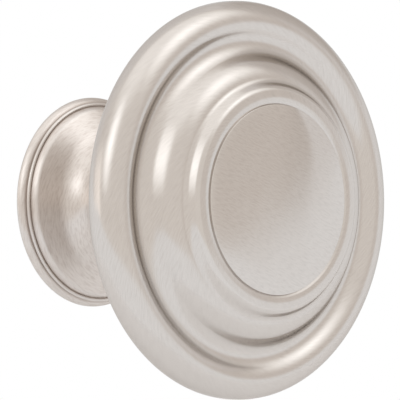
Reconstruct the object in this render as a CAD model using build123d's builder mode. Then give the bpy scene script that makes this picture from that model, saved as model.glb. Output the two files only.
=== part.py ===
from build123d import *
import os
from math import cos, radians, sin, tan

# A ringed mushroom knob for a cabinet door or drawer, in millimetres.
# It is one casting, a solid of revolution. The mounting face lies in the plane y = 0 with its
# middle at the origin, and the knob stands out from the door along -Y.
# Profiles are drawn in the XY plane: x is the radius, and y is minus the height above the door.

# Overall sizes
projection = 21.75
head_diameter = 32.0
base_diameter = 17.0
neck_diameter = 9.7

# Base: a crowned rim, a fine bead between two creases, then a shoulder and a shallow cone
base_edge_chamfer = 0.2
base_rim_height = 0.84
base_rim_step = 0.45
base_rim_bulge = 0.1
base_bead_step = 0.2
base_bead_height = 0.22
base_bead_bulge = 0.07
shoulder_step = 0.25
shoulder_height = 1.55
shoulder_round = 0.5
cone_tilt = 29.0

# Neck: a cove up from the cone, a short straight stem, and a flare out to the back of the head
neck_cove_radius = 2.4
flare_start_height = 7.2
head_back_height = 14.9
head_back_radius = 12.6

# Outer roll of the head, round in section, with a short straight land at its widest
roll_radius = 1.65
roll_land = 0.3
roll_drop = 4.33

# Hollow inside the roll: the roll turns into it at the crease, and a steep riser leads out of it
crease_tilt = 34.0
hollow_radius = 1.25
riser_tilt = 67.0

# Steps of the face, from the riser in to the disc. Depths are measured below the disc's edge
outer_step_depth = 1.215
outer_step_round = 0.9
inner_foot_depth = 0.98
inner_foot_run = 0.15
inner_foot_fillet = 0.36
inner_step_width = 1.1
inner_step_depth = 0.075
inner_step_round = 0.48

# Centre disc, slightly domed, in a fine groove
disc_diameter = 15.4
disc_crown = 0.35
groove_depth = 0.2
groove_inner_run = 0.06
groove_outer_run = 0.14

# Blind tapped hole for the mounting screw, at the thread's outer diameter
screw_hole_diameter = 4.17
screw_hole_depth = 14.0
screw_hole_chamfer = 0.4
drill_point_angle = 118.0

os.makedirs("parts", exist_ok=True)

head_radius = head_diameter / 2
base_radius = base_diameter / 2
neck_radius = neck_diameter / 2
disc_radius = disc_diameter / 2
hole_radius = screw_hole_diameter / 2
disc_edge_height = projection - disc_crown


def at(radius, height):
    """A point of the profile, by its radius and its height above the door."""
    return (radius, -height)


def on_face(radius, depth):
    """A point of the face, by its radius and its depth below the disc's edge."""
    return at(radius, disc_edge_height - depth)


with BuildPart() as knob:
    with BuildSketch(Plane.XY):
        with BuildLine():
            # Mounting face, chamfered edge, crowned rim and the fine bead
            rim_foot = at(base_radius, base_edge_chamfer)
            rim_top = at(base_radius - base_rim_step, base_rim_height)
            bead_top_radius = base_radius - base_rim_step - base_bead_step
            bead_top = at(bead_top_radius, base_rim_height + base_bead_height)
            Polyline(at(0, 0), at(base_radius - base_edge_chamfer, 0), rim_foot)
            SagittaArc(rim_foot, rim_top, base_rim_bulge)
            SagittaArc(rim_top, bead_top, base_bead_bulge)

            # Shoulder, cone and cove up to the straight stem of the neck
            shoulder_radius = bead_top_radius - shoulder_step
            cone_rise = (shoulder_radius - neck_radius) * tan(radians(cone_tilt))
            flare_start = at(neck_radius, flare_start_height)
            FilletPolyline(
                bead_top,
                at(shoulder_radius, shoulder_height),
                at(neck_radius, shoulder_height + cone_rise),
                flare_start,
                radius=[shoulder_round, neck_cove_radius],
            )

            # Flare to the back of the head, then the outer roll as far as the crease
            head_back = at(head_back_radius, head_back_height)
            roll_middle_radius = head_radius - roll_radius
            roll_front_height = disc_edge_height - roll_drop
            roll_back_height = roll_front_height - roll_land
            roll_back = at(roll_middle_radius, roll_back_height - roll_radius)
            roll_back_side = at(head_radius, roll_back_height)
            roll_front_side = at(head_radius, roll_front_height)
            crease = at(
                roll_middle_radius - roll_radius * sin(radians(crease_tilt)),
                roll_front_height + roll_radius * cos(radians(crease_tilt)),
            )
            TangentArc(flare_start, head_back, tangent=(0, -1))
            Line(head_back, roll_back)
            RadiusArc(roll_back, roll_back_side, roll_radius)
            Line(roll_back_side, roll_front_side)
            TangentArc(roll_front_side, crease, tangent=(0, -1))

            # Hollow, which leaves the roll without a corner and meets the riser the same way
            hollow_reach = roll_radius + hollow_radius
            hollow_middle_radius = roll_middle_radius - hollow_reach * sin(radians(crease_tilt))
            hollow_middle_height = roll_front_height + hollow_reach * cos(radians(crease_tilt))
            riser_foot_radius = hollow_middle_radius - hollow_radius * sin(radians(riser_tilt))
            riser_foot_height = hollow_middle_height - hollow_radius * cos(radians(riser_tilt))
            riser_foot = at(riser_foot_radius, riser_foot_height)
            riser_down = (cos(radians(riser_tilt)), sin(radians(riser_tilt)))
            TangentArc(riser_foot, crease, tangent=riser_down)

            # Riser and steps, in to the groove round the disc
            riser_rise = disc_edge_height - outer_step_depth - riser_foot_height
            outer_step_radius = riser_foot_radius - riser_rise / tan(radians(riser_tilt))
            groove_radius = disc_radius + groove_inner_run
            inner_ring_radius = groove_radius + groove_outer_run
            inner_step_radius = inner_ring_radius + inner_step_width
            disc_edge = on_face(disc_radius, 0)
            FilletPolyline(
                riser_foot,
                on_face(outer_step_radius, outer_step_depth),
                on_face(inner_step_radius + inner_foot_run, inner_foot_depth),
                on_face(inner_step_radius, inner_step_depth),
                on_face(inner_ring_radius, inner_step_depth),
                on_face(groove_radius, groove_depth),
                disc_edge,
                radius=[outer_step_round, inner_foot_fillet, inner_step_round, 0, 0],
            )

            # Dome of the disc, and the axis
            crown = at(0, projection)
            TangentArc(crown, disc_edge, tangent=(1, 0))
            Line(crown, at(0, 0))
        make_face()
    revolve(axis=Axis.Y)

    # Tapped hole, with a chamfered mouth and a drilled point
    with BuildSketch(Plane.XY):
        with BuildLine():
            Polyline(
                at(0, 0),
                at(hole_radius + screw_hole_chamfer, 0),
                at(hole_radius, screw_hole_chamfer),
                at(hole_radius, screw_hole_depth),
                at(0, screw_hole_depth + hole_radius / tan(radians(drill_point_angle / 2))),
                close=True,
            )
        make_face()
    revolve(axis=Axis.Y, mode=Mode.SUBTRACT)

knob.part.label = "knob"
export_step(knob.part, "parts/knob.step")
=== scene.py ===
from math import atan2, cos, hypot, pi, radians, sin, tan

import bmesh
import bpy
from mathutils import Matrix, Vector


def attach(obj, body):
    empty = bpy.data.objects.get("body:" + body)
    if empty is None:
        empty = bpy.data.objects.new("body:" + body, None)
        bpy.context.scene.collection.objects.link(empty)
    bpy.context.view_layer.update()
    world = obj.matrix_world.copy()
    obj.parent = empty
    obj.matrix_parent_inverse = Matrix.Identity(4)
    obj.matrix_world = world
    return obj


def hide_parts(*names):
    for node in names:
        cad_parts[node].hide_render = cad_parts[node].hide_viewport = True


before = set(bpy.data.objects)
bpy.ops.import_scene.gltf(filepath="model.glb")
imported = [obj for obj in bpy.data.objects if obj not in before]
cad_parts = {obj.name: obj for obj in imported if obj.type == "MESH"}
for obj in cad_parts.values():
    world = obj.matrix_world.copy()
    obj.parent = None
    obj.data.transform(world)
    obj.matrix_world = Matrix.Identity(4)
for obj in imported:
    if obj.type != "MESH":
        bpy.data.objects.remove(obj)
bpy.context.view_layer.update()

# The knob: one piece of die-cast zinc, turned smooth and plated in satin nickel.
# Its section is drawn from the middle of the face, over the rings and the roll, down the neck
# to the base and up the screw hole. Points are (radius, height above the door), in metres.
MM = 0.001
ARC_STEP = radians(4.0)
RUN_STEP = 0.2 * MM


def sweep(centre, radius, start, end):
    """Points on an arc about a centre, between two bearings, without its first point."""
    count = max(3, round(abs(end - start) / ARC_STEP))
    bearings = [start + (end - start) * k / count for k in range(1, count + 1)]
    return [(centre[0] + radius * cos(b), centre[1] + radius * sin(b)) for b in bearings]


def turn_between(arriving, leaving):
    """The turn from one heading to another, to the left above 0."""
    return (leaving - arriving + pi) % (2 * pi) - pi


def leave(start, heading, end):
    """An arc that leaves a point along a heading and runs to an end point."""
    chord = (end[0] - start[0], end[1] - start[1])
    turn = turn_between(heading, atan2(chord[1], chord[0]))
    radius = hypot(*chord) / (2 * sin(turn))
    centre = (start[0] - radius * sin(heading), start[1] + radius * cos(heading))
    first = atan2(start[1] - centre[1], start[0] - centre[0])
    return sweep(centre, abs(radius), first, first + 2 * turn)


def bow(start, end, bulge):
    """An arc between two points whose middle stands off the chord, to its left."""
    chord = (end[0] - start[0], end[1] - start[1])
    heading = atan2(chord[1], chord[0]) + 2 * atan2(2 * bulge, hypot(*chord))
    return leave(start, heading, end)


def rounded(corners, radii):
    """A run of straight lines with its corners rounded."""
    points = [corners[0]]

    def straight(end):
        start = points[-1]
        rise = (end[0] - start[0], end[1] - start[1])
        count = max(2, round(hypot(*rise) / RUN_STEP))
        for k in range(1, count + 1):
            part = k / count
            points.append((start[0] + rise[0] * part, start[1] + rise[1] * part))

    for before, corner, after, radius in zip(corners, corners[1:], corners[2:], radii):
        arriving = atan2(corner[1] - before[1], corner[0] - before[0])
        leaving = atan2(after[1] - corner[1], after[0] - corner[0])
        back = radius * abs(tan(turn_between(arriving, leaving) / 2))
        start = (corner[0] - back * cos(arriving), corner[1] - back * sin(arriving))
        end = (corner[0] + back * cos(leaving), corner[1] + back * sin(leaving))
        straight(start)
        points += leave(start, arriving, end)
    straight(corners[-1])
    return points


# Disc in the middle of the face: a low dome that falls off faster near its edge, and a fine groove
# round it. Depths on the face are measured down from the disc's edge.
FACE_HEIGHT = 21.4 * MM
DISC_RADIUS = 7.63 * MM
DISC_CROWN = 0.35 * MM
DISC_PILLOW = 0.25
DISC_PILLOW_POWER = 10
DISC_STEPS = 40
DISC_SHOULDER = 0.03 * MM
GROOVE = (7.66 * MM, 0.115 * MM)


def on_face(radius, depth):
    """A point of the face, by its radius and its depth below the disc's edge."""
    return (radius, FACE_HEIGHT - depth)


disc = []
for k in range(DISC_STEPS + 1):
    reach = k / DISC_STEPS
    fall = (1 - DISC_PILLOW) * reach**2 + DISC_PILLOW * reach**DISC_PILLOW_POWER
    disc.append(on_face(DISC_RADIUS * reach, DISC_CROWN * (fall - 1)))
section = disc[:-1] + rounded([disc[-2], disc[-1], on_face(*GROOVE)], [DISC_SHOULDER])[1:]
sharp = [len(section) - 1]

# Two stepped rings, then a riser down into a hollow, which turns without a corner into the
# outer roll. The roll is round in section, with a short straight land at its widest.
INNER_RING_START = (7.86 * MM, 0.04 * MM)
INNER_RING_CROWN = (8.22 * MM, 0.0)
INNER_RING_EDGE = (9.0 * MM, 0.08 * MM)
INNER_RING_FOOT = (9.5 * MM, 0.97 * MM)
INNER_RING_ROUND = 0.08 * MM
INNER_RING_BOW = 1.3 * MM
INNER_EDGE_ROUND = 0.55 * MM
INNER_FOOT_FILLET = 0.58 * MM
OUTER_RING_DEPTH = 1.13 * MM
OUTER_EDGE_ROUND = 1.9 * MM
RISER_TILT = radians(60.0)
HOLLOW_RADIUS = 1.36 * MM
HOLLOW_END_TILT = radians(33.0)
HEAD_RADIUS = 16.0 * MM
ROLL_RADIUS = 1.65 * MM
ROLL_LAND = 0.3 * MM
ROLL_DROP = 4.33 * MM
DOWN = 1.5 * pi
roll_centre = (HEAD_RADIUS - ROLL_RADIUS, FACE_HEIGHT - ROLL_DROP)
hollow_reach = ROLL_RADIUS + HOLLOW_RADIUS
hollow_centre = (
    roll_centre[0] - hollow_reach * sin(HOLLOW_END_TILT),
    roll_centre[1] + hollow_reach * cos(HOLLOW_END_TILT),
)
riser_foot = (
    hollow_centre[0] - HOLLOW_RADIUS * sin(RISER_TILT),
    hollow_centre[1] - HOLLOW_RADIUS * cos(RISER_TILT),
)
riser_height = FACE_HEIGHT - OUTER_RING_DEPTH - riser_foot[1]
outer_ring_edge = on_face(riser_foot[0] - riser_height / tan(RISER_TILT), OUTER_RING_DEPTH)
section += rounded(
    [
        section[-1],
        on_face(*INNER_RING_START),
        on_face(*INNER_RING_CROWN),
        on_face(*INNER_RING_EDGE),
        on_face(*INNER_RING_FOOT),
        outer_ring_edge,
        riser_foot,
    ],
    [INNER_RING_ROUND, INNER_RING_BOW, INNER_EDGE_ROUND, INNER_FOOT_FILLET, OUTER_EDGE_ROUND],
)[1:]
section += sweep(hollow_centre, HOLLOW_RADIUS, DOWN - RISER_TILT, DOWN + HOLLOW_END_TILT)
section += sweep(roll_centre, ROLL_RADIUS, pi / 2 + HOLLOW_END_TILT, 0)
roll_back_centre = (roll_centre[0], roll_centre[1] - ROLL_LAND)
section.append((HEAD_RADIUS, roll_back_centre[1]))
section += sweep(roll_back_centre, ROLL_RADIUS, 0, -pi / 2)

# Back of the head and the neck, cast in one with the head and polished: a flare down to a short
# straight stem, then a cove out to a shallow cone.
HEAD_BACK = (12.6 * MM, 14.9 * MM)
NECK_RADIUS = 4.85 * MM
NECK_TOP = (NECK_RADIUS, 7.2 * MM)
NECK_COVE = 2.4 * MM
CONE_TILT = radians(29.0)
SHOULDER = (7.6 * MM, 1.55 * MM)
SHOULDER_ROUND = 0.5 * MM
BEAD_TOP = (7.82 * MM, 1.09 * MM)
neck_foot = (NECK_RADIUS, SHOULDER[1] + (SHOULDER[0] - NECK_RADIUS) * tan(CONE_TILT))
flare = leave(NECK_TOP, pi / 2, HEAD_BACK)
section.append(HEAD_BACK)
section += flare[-2::-1]
section += rounded([NECK_TOP, neck_foot, SHOULDER, BEAD_TOP], [NECK_COVE, SHOULDER_ROUND])
creases = [len(section) - 1]

# Base: a fine bead between two creases and a crowned rim, turned on the lathe. The screw draws the
# flat mounting face below them up against the door.
BEAD_BULGE = 0.14 * MM
BASE_RADIUS = 8.5 * MM
BASE_RIM_TOP = (8.08 * MM, 0.81 * MM)
BASE_RIM_BULGE = 0.1 * MM
BASE_EDGE_ROUND = 0.25 * MM
section += bow(BEAD_TOP, BASE_RIM_TOP, BEAD_BULGE)
creases.append(len(section) - 1)
sharp += creases
section += bow(BASE_RIM_TOP, (BASE_RADIUS, BASE_EDGE_ROUND), BASE_RIM_BULGE)
base_edge_centre = (BASE_RADIUS - BASE_EDGE_ROUND, BASE_EDGE_ROUND)
section += sweep(base_edge_centre, BASE_EDGE_ROUND, 0, -pi / 2)

# Screw hole: blind, drilled from the base, with a chamfered mouth and the cone of the drill at its
# end. A machine screw through the door goes into it and holds the knob.
HOLE_RADIUS = 2.085 * MM
HOLE_DEPTH = 14.0 * MM
HOLE_CHAMFER = 0.4 * MM
DRILL_HALF_ANGLE = radians(59.0)
for corner in (
    (HOLE_RADIUS + HOLE_CHAMFER, 0),
    (HOLE_RADIUS, HOLE_CHAMFER),
    (HOLE_RADIUS, HOLE_DEPTH),
):
    section.append(corner)
    sharp.append(len(section) - 1)
section.append((0, HOLE_DEPTH + HOLE_RADIUS / tan(DRILL_HALF_ANGLE)))

# The section turned about the axis. Each point also keeps how much of a ridge it is, for a painted
# highlight, and how near it lies to a crease, for a painted shade, and a UV map keeps the turn and the
# length along the section.
AROUND = 256
RIDGE_REACH = 0.35 * MM
RIDGE_LIMIT = 3.0
CREASE_REACH = 0.2 * MM


def ridge(before, point, after):
    """How sharply the section stands out at a point: above 0 on a ridge, below 0 in a hollow."""
    arriving = (point[0] - before[0], point[1] - before[1])
    leaving = (after[0] - point[0], after[1] - point[1])
    turn = turn_between(atan2(arriving[1], arriving[0]), atan2(leaving[1], leaving[0]))
    stretch = (hypot(*arriving) + hypot(*leaving)) / 2
    return max(-RIDGE_LIMIT, min(RIDGE_LIMIT, -turn / stretch * RIDGE_REACH))


def put_in_scene(name, form):
    """An object made from a mesh in the making, which is used up."""
    mesh = bpy.data.meshes.new(name)
    form.to_mesh(mesh)
    form.free()
    made = bpy.data.objects.new(name, mesh)
    bpy.context.scene.collection.objects.link(made)
    return made


run = [0.0]
for before, after in zip(section, section[1:]):
    run.append(run[-1] + hypot(after[0] - before[0], after[1] - before[1]))
form = bmesh.new()
lathe_map = form.loops.layers.uv.new("lathe")
ridge_layer = form.verts.layers.float.new("ridge")
crease_shade_layer = form.verts.layers.float.new("crease_shade")
rings = []
for i, (radius, height) in enumerate(section):
    on_axis = radius == 0
    ridged = 0.0 if on_axis else ridge(section[i - 1], section[i], section[i + 1])
    near_crease = max(1 - abs(run[i] - run[at]) / CREASE_REACH for at in creases)
    ring = []
    for k in range(1 if on_axis else AROUND):
        angle = 2 * pi * k / AROUND
        vert = form.verts.new((radius * cos(angle), -height, radius * sin(angle)))
        vert[ridge_layer] = ridged
        # Painted shade: how near the point lies to a bead crease, where the tone is darkened to brown.
        vert[crease_shade_layer] = max(0.0, near_crease)
        ring.append(vert)
    rings.append(ring)
for i, (near, far) in enumerate(zip(rings, rings[1:])):
    for k in range(AROUND):
        n = (k + 1) % AROUND
        corners = [(near, k, i, k), (near, n, i, k + 1), (far, n, i + 1, k + 1), (far, k, i + 1, k)]
        if len(near) == 1:
            corners = [(near, 0, i, k + 0.5)] + corners[2:]
        if len(far) == 1:
            corners = corners[:2] + [(far, 0, i + 1, k + 0.5)]
        face = form.faces.new([ring[at] for ring, at, _, _ in corners])
        face.smooth = True
        for loop, (_, _, row, turn) in zip(face.loops, corners):
            loop[lathe_map].uv = (turn / AROUND, run[row])
for i in sharp:
    for k in range(AROUND):
        form.edges.get((rings[i][k], rings[i][(k + 1) % AROUND])).smooth = False
bmesh.ops.recalc_face_normals(form, faces=form.faces)
casting = put_in_scene("knob_casting", form)

# The finish: satin nickel plate, brushed with a fine abrasive. The hairs slant over the rings and
# the roll, go straight across the disc, and run round the neck and base, which are left rougher.
# Painted shade: the creases beside the bead are darkened to brown, standing in for the shade that
# gathers in them.
satin_nickel = bpy.data.materials.new("satin_nickel")
satin_nickel.use_nodes = True
nodes = satin_nickel.node_tree.nodes
links = satin_nickel.node_tree.links
shader = nodes["Principled BSDF"]
shader.inputs["Metallic"].default_value = 1.0


def put(kind, **sockets):
    """A node with its inputs linked or set. Names use _ for a space, and i0 is the first input."""
    node = nodes.new("ShaderNode" + kind)
    for name, value in sockets.items():
        by_number = name[1:].isdigit()
        socket = node.inputs[int(name[1:]) if by_number else name.replace("_", " ")]
        if isinstance(value, bpy.types.NodeSocket):
            links.new(value, socket)
        else:
            socket.default_value = value
    return node


def maths(operation, first, second):
    """A sum of two values, or another operation on them."""
    node = put("Math", i0=first, i1=second)
    node.operation = operation
    return node.outputs["Value"]


def vector(operation, first, second=(0.0, 0.0, 0.0)):
    """An operation on one vector or two."""
    node = put("VectorMath", i0=first, i1=second)
    node.operation = operation
    return node.outputs["Value" if operation == "DOT_PRODUCT" else "Vector"]


def spread(value, low, high, to_low, to_high):
    """A value from one range mapped to another, and held at its ends."""
    node = put("MapRange", Value=value, From_Min=low, From_Max=high, To_Min=to_low, To_Max=to_high)
    return node.outputs["Result"]


def between(mask, off, on):
    """A figure that goes from one value to another as a mask goes from 0 to 1."""
    return spread(mask, 0.0, 1.0, off, on)


def blend(factor, first, second):
    """A colour or a vector between two others."""
    node = put("Mix", i0=factor)
    node.data_type = "RGBA"
    for socket, value in ((node.inputs[6], first), (node.inputs[7], second)):
        if isinstance(value, tuple):
            socket.default_value = value
        else:
            links.new(value, socket)
    return node.outputs[2]


def kept(name):
    """What the mesh keeps at its points under a name."""
    node = put("Attribute")
    node.attribute_name = name
    return node.outputs["Fac"]


# Where on the casting a point is: on the disc, behind the head, and how far along the section and
# round the axis. A turn counts as its length at one radius.
DISC_FADE = 0.1 * MM
BACK_FROM = -16.2 * MM
BACK_TO = -14.6 * MM
TURN_RADIUS = 7.5 * MM
place = put("TexCoord").outputs["Object"]
lathe_uv = put("UVMap")
lathe_uv.uv_map = "lathe"
lathe_uv = put("SeparateXYZ", Vector=lathe_uv.outputs["UV"])
length = lathe_uv.outputs["Y"]
swept = maths("MULTIPLY", maths("MULTIPLY", lathe_uv.outputs["X"], 2 * pi), TURN_RADIUS)
on_disc = spread(length, DISC_RADIUS, DISC_RADIUS + DISC_FADE, 1.0, 0.0)
from_door = put("SeparateXYZ", Vector=place).outputs["Y"]
behind = spread(from_door, BACK_FROM, BACK_TO, 0.0, 1.0)

# Hairs left by the abrasive: a noise that is fine across them and drawn out along them, by its
# waves to a metre. They are coarsest behind the head, and a little coarser on the disc.
HAIRS_ACROSS = 12000.0
HAIRS_ALONG = 1600.0
HAIR_DETAIL = 3.0
HAIR_DETAIL_SHARE = 0.65
HAIR_FROM = 0.55
HAIR_FULL = 0.35
BACK_HAIR_SLANT = 0.15
BACK_HAIR_SCALE = 0.6
DISC_HAIR_SCALE = -0.25
BRUSH_SLOPE = 0.38
DISC_BRUSH = (1.0, 0.0, -BRUSH_SLOPE)
DISC_ACROSS = (BRUSH_SLOPE, 0.0, 1.0)
slant = maths("MULTIPLY", swept, between(behind, 1.0, BACK_HAIR_SLANT))
turned = put("CombineXYZ", X=maths("SUBTRACT", length, slant), Y=swept).outputs["Vector"]
across = vector("DOT_PRODUCT", place, DISC_ACROSS)
along = vector("DOT_PRODUCT", place, DISC_BRUSH)
straight = put("CombineXYZ", X=across, Y=along).outputs["Vector"]
drawn_out = vector("MULTIPLY", blend(on_disc, turned, straight), (HAIRS_ACROSS, HAIRS_ALONG, 1.0))
scale = maths("ADD", between(behind, 1.0, BACK_HAIR_SCALE), between(on_disc, 0.0, DISC_HAIR_SCALE))
grain = put("TexNoise", Vector=drawn_out, Scale=scale, Detail=HAIR_DETAIL, Roughness=HAIR_DETAIL_SHARE)
grain = grain.outputs["Fac"]
hairs = spread(grain, HAIR_FULL, HAIR_FROM, 1.0, 0.0)

# Tone: lighter behind the head, a painted light on the neck and base; darker in the hairs; a little
# lighter on the ridges, a painted highlight; and a painted brown shade in the creases beside the bead.
NICKEL = (0.58, 0.542, 0.508, 1.0)
NICKEL_HAIR = (0.535, 0.498, 0.466, 1.0)
NICKEL_RIDGE_HIGHLIGHT = (0.604, 0.569, 0.536, 1.0)
NICKEL_CREASE_SHADE = (0.28, 0.215, 0.175, 1.0)
BACK_NICKEL_LIT = (0.63, 0.58, 0.54, 1.0)
BACK_HAIR = (0.535, 0.48, 0.44, 1.0)
RIDGE_FROM = 0.3
RIDGE_FULL = 0.9
RIDGE_HIGHLIGHT = 0.6
CREASE_SHADE = 0.65
# Painted light: behind the head the nickel is made lighter, which brightens the neck and base.
tone = blend(behind, NICKEL, BACK_NICKEL_LIT)
tone = blend(hairs, tone, blend(behind, NICKEL_HAIR, BACK_HAIR))
# Painted highlight: the ridges are made a little lighter, standing in for the light that their edges
# catch.
tone = blend(spread(kept("ridge"), RIDGE_FROM, RIDGE_FULL, 0.0, RIDGE_HIGHLIGHT), tone, NICKEL_RIDGE_HIGHLIGHT)
# Painted shade: brown in the creases beside the bead.
tone = blend(between(kept("crease_shade"), 0.0, CREASE_SHADE), tone, NICKEL_CREASE_SHADE)
links.new(tone, shader.inputs["Base Color"])

# Sheen: drawn out across the hairs, tighter on the disc, and a little duller at the outline.
NICKEL_LIMB = (0.72, 0.7, 0.68, 1.0)
NOISE_LOW = 0.3
NOISE_HIGH = 0.7
MOTTLE_SCALE = 330.0
MOTTLE_DETAIL = 2.0
ROUGH_FROM = 0.19
ROUGH_TO = 0.22
HAIR_ROUGH = 0.01
DISC_ROUGH = -0.1
BACK_ROUGH = 0.1
ANISOTROPY = 0.72
DISC_ANISOTROPY = 0.92
QUARTER_TURN = 0.25
HAIR_DEPTH = 0.0003 * MM
shader.inputs["Specular Tint"].default_value = NICKEL_LIMB
shader.inputs["Anisotropic Rotation"].default_value = QUARTER_TURN
mottle = put("TexNoise", Vector=place, Scale=MOTTLE_SCALE, Detail=MOTTLE_DETAIL).outputs["Fac"]
rough = spread(mottle, NOISE_LOW, NOISE_HIGH, ROUGH_FROM, ROUGH_TO)
rough = maths("ADD", rough, spread(grain, NOISE_LOW, NOISE_HIGH, -HAIR_ROUGH, HAIR_ROUGH))
rough = maths("ADD", rough, between(on_disc, 0.0, DISC_ROUGH))
rough = maths("ADD", rough, between(behind, 0.0, BACK_ROUGH))
links.new(rough, shader.inputs["Roughness"])
links.new(between(on_disc, ANISOTROPY, DISC_ANISOTROPY), shader.inputs["Anisotropic"])
outward = vector("NORMALIZE", vector("MULTIPLY", place, (1.0, 0.0, 1.0)))
around = vector("CROSS_PRODUCT", outward, (0.0, 1.0, 0.0))
links.new(blend(on_disc, around, (*DISC_BRUSH, 1.0)), shader.inputs["Tangent"])
relief = put("Bump", Strength=1.0, Distance=HAIR_DEPTH, Height=grain)
links.new(relief.outputs["Normal"], shader.inputs["Normal"])
casting.data.materials.append(satin_nickel)
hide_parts("knob")
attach(casting, "root")

# The thread of the screw hole: cut with a tap after plating, so it is bare zinc alloy.
# One right-hand ridge winds along the wall of the hole, with a narrow flat crest.
# Widths are shares of the pitch.
THREAD_PITCH = 0.794 * MM
THREAD_CREST_RADIUS = 1.66 * MM
THREAD_CREST_WIDTH = 0.22
THREAD_SINK = 0.02 * MM
THREAD_FOOT_RADIUS = HOLE_RADIUS + THREAD_SINK
THREAD_FOOT_WIDTH = 0.88
THREAD_START = 0.9 * MM
THREAD_TURNS = 15
THREAD_AROUND = 40
THREAD_SECTION = (
    (THREAD_FOOT_RADIUS, -THREAD_FOOT_WIDTH / 2),
    (THREAD_CREST_RADIUS, -THREAD_CREST_WIDTH / 2),
    (THREAD_CREST_RADIUS, THREAD_CREST_WIDTH / 2),
    (THREAD_FOOT_RADIUS, THREAD_FOOT_WIDTH / 2),
)
form = bmesh.new()
coils = []
for k in range(THREAD_TURNS * THREAD_AROUND + 1):
    angle = 2 * pi * k / THREAD_AROUND
    middle = THREAD_START + THREAD_PITCH * k / THREAD_AROUND
    coil = []
    for radius, offset in THREAD_SECTION:
        height = middle + offset * THREAD_PITCH
        coil.append(form.verts.new((radius * cos(angle), -height, radius * sin(angle))))
    coils.append(coil)
for near, far in zip(coils, coils[1:]):
    for i in range(len(THREAD_SECTION)):
        n = (i + 1) % len(THREAD_SECTION)
        form.faces.new((near[i], near[n], far[n], far[i]))
form.faces.new(coils[0])
form.faces.new(coils[-1][::-1])
bmesh.ops.recalc_face_normals(form, faces=form.faces)
thread = put_in_scene("hole_thread", form)

ZINC = (0.5, 0.5, 0.51, 1.0)
ZINC_SCORE = (0.4, 0.4, 0.41, 1.0)
ZINC_ROUGH_FROM = 0.3
ZINC_ROUGH_TO = 0.45
SCORE_SCALE = 5000.0
SCORE_DETAIL = 3.0
SCORE_FULL = 0.35
SCORE_FROM = 0.65
SCORE_DEPTH = 0.002 * MM
bare_zinc = bpy.data.materials.new("bare_zinc")
bare_zinc.use_nodes = True
nodes = bare_zinc.node_tree.nodes
links = bare_zinc.node_tree.links
shader = nodes["Principled BSDF"]
shader.inputs["Metallic"].default_value = 1.0
place = put("TexCoord").outputs["Object"]
scores = put("TexNoise", Vector=place, Scale=SCORE_SCALE, Detail=SCORE_DETAIL).outputs["Fac"]
tone = blend(spread(scores, SCORE_FULL, SCORE_FROM, 0.0, 1.0), ZINC_SCORE, ZINC)
links.new(tone, shader.inputs["Base Color"])
rough = spread(scores, NOISE_LOW, NOISE_HIGH, ZINC_ROUGH_FROM, ZINC_ROUGH_TO)
links.new(rough, shader.inputs["Roughness"])
relief = put("Bump", Strength=1.0, Distance=SCORE_DEPTH, Height=scores)
links.new(relief.outputs["Normal"], shader.inputs["Normal"])
thread.data.materials.append(bare_zinc)
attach(thread, "root")

# Camera at the photograph's viewing angle: 45 degrees round from the face, level with the knob,
# far off with a long lens, and rolled by less than a degree.
VIEW_AZIMUTH = radians(-45.07)
VIEW_ROLL = radians(0.75)
VIEW_DISTANCE = 0.8
VIEW_OFFSET = (6.243 * MM, 0.024 * MM)
VIEW_LENS = 900.9
VIEW_NEAREST = 0.01
forward = Vector((-sin(VIEW_AZIMUTH), cos(VIEW_AZIMUTH), 0))
level = Vector((cos(VIEW_AZIMUTH), sin(VIEW_AZIMUTH), 0))
upright = Vector((0, 0, 1))
image_right = level * cos(VIEW_ROLL) - upright * sin(VIEW_ROLL)
image_up = level * sin(VIEW_ROLL) + upright * cos(VIEW_ROLL)
disc_middle = Vector((0, -FACE_HEIGHT, 0))
aim = disc_middle - image_right * VIEW_OFFSET[0] - image_up * VIEW_OFFSET[1]
turned_to = Matrix((image_right, image_up, -forward)).transposed().to_4x4()
lens = bpy.data.cameras.new("camera")
lens.lens = VIEW_LENS
lens.clip_start = VIEW_NEAREST
camera = bpy.data.objects.new("camera", lens)
camera.matrix_world = Matrix.Translation(aim - forward * VIEW_DISTANCE) @ turned_to
bpy.context.scene.collection.objects.link(camera)
bpy.context.scene.camera = camera

# The floor: a round of white paper below the knob, which reaches further behind it than in front.
# The camera looks level over it, and the metal reflects it.
FLOOR_DROP = 34.0 * MM
FLOOR_RADIUS = 120.0 * MM
FLOOR_FRONT = 29.0 * MM
FLOOR_SIDES = 96
PAPER = (0.9, 0.915, 0.935, 1.0)
PAPER_ROUGH = 0.9
form = bmesh.new()
bmesh.ops.create_circle(form, cap_ends=True, radius=FLOOR_RADIUS, segments=FLOOR_SIDES)
floor = put_in_scene("floor", form)
below = Vector((0, -FACE_HEIGHT / 2, -FLOOR_DROP))
floor.location = below + forward * (FLOOR_RADIUS - FLOOR_FRONT)
white_paper = bpy.data.materials.new("white_paper")
white_paper.use_nodes = True
shader = white_paper.node_tree.nodes["Principled BSDF"]
shader.inputs["Base Color"].default_value = PAPER
shader.inputs["Roughness"].default_value = PAPER_ROUGH
floor.data.materials.append(white_paper)

# Two round softboxes: one at the right, above the front of the face, and one at the left side.
# An area lamp with a spread gathers its light to the middle, and that is divided out again.
SOFTBOX_DISTANCE = 0.6
SOFTBOX_COLOUR = (0.89, 0.945, 1.0)
FRONT_AZIMUTH = radians(72)
FRONT_ELEVATION = radians(45)
FRONT_HALF_ANGLE = radians(28)
FRONT_RADIANCE = 1.0
SIDE_AZIMUTH = radians(-39)
SIDE_ELEVATION = radians(29)
SIDE_HALF_ANGLE = radians(28)
SIDE_RADIANCE = 1.45


def bearing(azimuth, elevation):
    """A direction from the knob, by its bearing right of the camera and its height."""
    flat = level * sin(azimuth) - forward * cos(azimuth)
    return flat * cos(elevation) + upright * sin(elevation)


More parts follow.
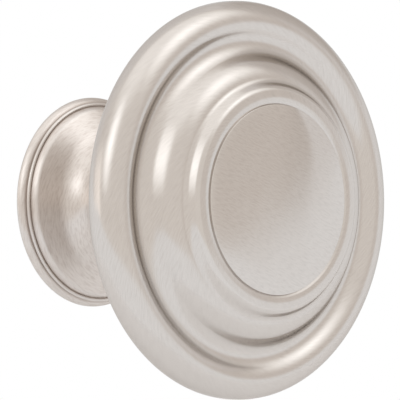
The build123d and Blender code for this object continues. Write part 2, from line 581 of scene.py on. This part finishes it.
def softbox(name, towards, half_angle, radiance):
    """A round softbox with a fading edge, by the direction that it stands in."""
    lamp = bpy.data.lights.new(name, "AREA")
    lamp.shape = "DISK"
    lamp.color = SOFTBOX_COLOUR
    lamp.size = 2 * SOFTBOX_DISTANCE * tan(half_angle)
    lamp.spread = 2 * half_angle
    gathered = tan(half_angle) / (tan(half_angle) - half_angle)
    lamp_face = pi * lamp.size**2 / 4
    lamp.energy = radiance * pi * lamp_face / gathered
    box = bpy.data.objects.new(name, lamp)
    facing_knob = towards.to_track_quat("Z", "Y").to_matrix().to_4x4()
    box.matrix_world = Matrix.Translation(towards * SOFTBOX_DISTANCE) @ facing_knob
    bpy.context.scene.collection.objects.link(box)


front = bearing(FRONT_AZIMUTH, FRONT_ELEVATION)
softbox("front_softbox", front, FRONT_HALF_ANGLE, FRONT_RADIANCE)
side = bearing(SIDE_AZIMUTH, SIDE_ELEVATION)
softbox("side_softbox", side, SIDE_HALF_ANGLE, SIDE_RADIANCE)

# The studio tent round it all, of white and grey cloths that the metal reflects: two walls, a card
# at the left, a ceiling, a panel behind with a darker gap at its edge, a dim corner, a table and
# the white sweep behind the knob. Each is laid over those before it.
LEFT_WALL = (1.02, 0.985, 0.95)
RIGHT_WALL = (0.88, 0.827, 0.783)
CARD = (1.6, 1.53, 1.48)
CARD_AZIMUTH = radians(-92)
CEILING = (1.37, 1.36, 1.35)
GAP = (0.8, 0.752, 0.712)
PANEL = (1.0, 0.985, 0.985)
PANEL_LEAN = 0.35
CORNER = (0.78, 0.74, 0.71)
CORNER_AZIMUTH = radians(138)
CORNER_ELEVATION = radians(24)
TABLE = (1.13, 1.15, 1.18)
TABLE_LEAN = 0.4
SWEEP = (1.0, 1.0, 1.0)
world = bpy.data.worlds.new("tent")
bpy.context.scene.world = world
world.use_nodes = True
sky = world.node_tree.nodes
join = world.node_tree.links
sky.clear()
direction = sky.new("ShaderNodeTexCoord").outputs["Generated"]


def facing(towards, low, high):
    """How far a direction of the tent faces a way, from 0 at low to 1 at high."""
    dot = sky.new("ShaderNodeVectorMath")
    dot.operation = "DOT_PRODUCT"
    join.new(direction, dot.inputs[0])
    dot.inputs[1].default_value = towards
    fade = sky.new("ShaderNodeMapRange")
    fade.interpolation_type = "SMOOTHSTEP"
    fade.inputs["From Min"].default_value = low
    fade.inputs["From Max"].default_value = high
    join.new(dot.outputs["Value"], fade.inputs["Value"])
    return fade.outputs["Result"]


def layer(under, over, mask):
    """One cloth of the tent laid over another where the mask shows it."""
    lay = sky.new("ShaderNodeMix")
    lay.data_type = "RGBA"
    join.new(mask, lay.inputs["Factor"])
    for socket, colour in ((lay.inputs[6], under), (lay.inputs[7], over)):
        if isinstance(colour, tuple):
            socket.default_value = (*colour, 1)
        else:
            join.new(colour, socket)
    return lay.outputs[2]


# Each row is a cloth, the way it faces, and the cosines where it begins and where it is full.
card_way = bearing(CARD_AZIMUTH, 0.0)
corner_way = bearing(CORNER_AZIMUTH, CORNER_ELEVATION)
panel_way = (forward - upright * PANEL_LEAN).normalized()
table_way = (forward * TABLE_LEAN - upright).normalized()
tent = LEFT_WALL
for cloth, way, low, high in (
    (RIGHT_WALL, level, 0.9, 0.995),
    (CARD, card_way, cos(radians(26)), cos(radians(10))),
    (CEILING, upright, 0.5, 0.95),
    (GAP, panel_way, -0.03, 0.058),
    (PANEL, panel_way, 0.059, 0.069),
    (CORNER, corner_way, cos(radians(36)), cos(radians(22))),
    (TABLE, table_way, 0.0, 0.05),
    (SWEEP, forward, 0.94, 0.985),
):
    tent = layer(tent, cloth, facing(way, low, high))
background = sky.new("ShaderNodeBackground")
join.new(tent, background.inputs["Color"])
output = sky.new("ShaderNodeOutputWorld")
join.new(background.outputs["Background"], output.inputs["Surface"])

bpy.context.scene.view_settings.view_transform = "Standard"
